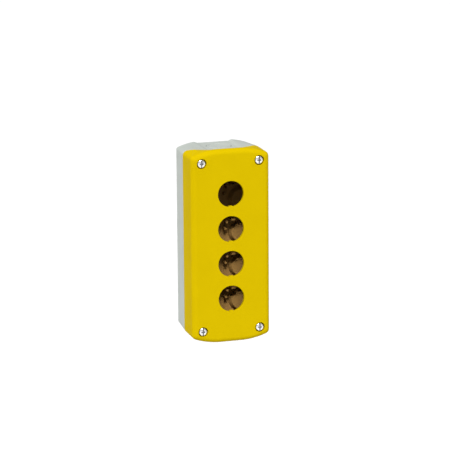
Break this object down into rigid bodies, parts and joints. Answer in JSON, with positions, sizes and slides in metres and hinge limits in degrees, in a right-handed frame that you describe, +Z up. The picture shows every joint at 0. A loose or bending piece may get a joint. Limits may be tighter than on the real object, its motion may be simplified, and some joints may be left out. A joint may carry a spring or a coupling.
{
  "type": "push button control station enclosure",
  "caption": "Wall-mounted plastic push-button enclosure: yellow lid with a row of 22 mm control holes, screwed to a grey base.",
  "frame": {"origin": "centre of the flat back, where the enclosure meets the wall", "axes": "+Z up along the row of control holes, +Y into the wall, -Y out of the front, +X to the right as seen from the front"},
  "size_m": [0.068, 0.053, 0.166],
  "materials": {
    "yellow_lid": "satin moulded yellow plastic",
    "grey_base": "fine-textured light grey moulded plastic",
    "black_rubber": "black rubber",
    "zinc_screw": "bright zinc-plated steel",
    "nylon_washer": "natural nylon",
    "brass_insert": "turned brass"
  },
  "bodies": {
    "base_body": {"base": "grey_base", "knockout_top": "grey_base", "knockout_bottom": "grey_base", "lid_gasket": "black_rubber", "threaded_insert_top_left": "brass_insert", "threaded_insert_top_right": "brass_insert", "threaded_insert_bottom_left": "brass_insert", "threaded_insert_bottom_right": "brass_insert"},
    "lid_body": {"lid": "yellow_lid"},
    "seal_body_top_left": {"screw_seal_top_left": "black_rubber", "retaining_washer_top_left": "nylon_washer"},
    "screw_body_top_left": {"lid_screw_top_left": "zinc_screw"},
    "seal_body_top_right": {"screw_seal_top_right": "black_rubber", "retaining_washer_top_right": "nylon_washer"},
    "screw_body_top_right": {"lid_screw_top_right": "zinc_screw"},
    "seal_body_bottom_left": {"screw_seal_bottom_left": "black_rubber", "retaining_washer_bottom_left": "nylon_washer"},
    "screw_body_bottom_left": {"lid_screw_bottom_left": "zinc_screw"},
    "seal_body_bottom_right": {"screw_seal_bottom_right": "black_rubber", "retaining_washer_bottom_right": "nylon_washer"},
    "screw_body_bottom_right": {"lid_screw_bottom_right": "zinc_screw"}
  },
  "joints": [
    {"name": "lid_clamp_release", "type": "slide", "parent": "base_body", "child": "lid_body", "axis": [0, -1, 0], "range_m": [0, 0.06]},
    {"name": "screw_travel_top_left", "type": "slide", "parent": "lid_body", "child": "seal_body_top_left", "axis": [0, -1, 0], "range_m": [0, 0.00805]},
    {"name": "screw_turn_top_left", "type": "hinge", "parent": "seal_body_top_left", "child": "screw_body_top_left", "pos_m": [-0.025, -0.05, 0.0722], "axis": [0, -1, 0], "range_deg": [0, 4141]},
    {"name": "screw_travel_top_right", "type": "slide", "parent": "lid_body", "child": "seal_body_top_right", "axis": [0, -1, 0], "range_m": [0, 0.00805]},
    {"name": "screw_turn_top_right", "type": "hinge", "parent": "seal_body_top_right", "child": "screw_body_top_right", "pos_m": [0.025, -0.05, 0.0722], "axis": [0, -1, 0], "range_deg": [0, 4141]},
    {"name": "screw_travel_bottom_left", "type": "slide", "parent": "lid_body", "child": "seal_body_bottom_left", "axis": [0, -1, 0], "range_m": [0, 0.00805]},
    {"name": "screw_turn_bottom_left", "type": "hinge", "parent": "seal_body_bottom_left", "child": "screw_body_bottom_left", "pos_m": [-0.025, -0.05, -0.0722], "axis": [0, -1, 0], "range_deg": [0, 4141]},
    {"name": "screw_travel_bottom_right", "type": "slide", "parent": "lid_body", "child": "seal_body_bottom_right", "axis": [0, -1, 0], "range_m": [0, 0.00805]},
    {"name": "screw_turn_bottom_right", "type": "hinge", "parent": "seal_body_bottom_right", "child": "screw_body_bottom_right", "pos_m": [0.025, -0.05, -0.0722], "axis": [0, -1, 0], "range_deg": [0, 4141]}
  ],
  "couplings": [
    {"joint": "screw_turn_top_left", "follows": "screw_travel_top_left", "rad_per_m": 8976},
    {"joint": "screw_turn_top_right", "follows": "screw_travel_top_right", "rad_per_m": 8976},
    {"joint": "screw_turn_bottom_left", "follows": "screw_travel_bottom_left", "rad_per_m": 8976},
    {"joint": "screw_turn_bottom_right", "follows": "screw_travel_bottom_right", "rad_per_m": 8976}
  ]
}
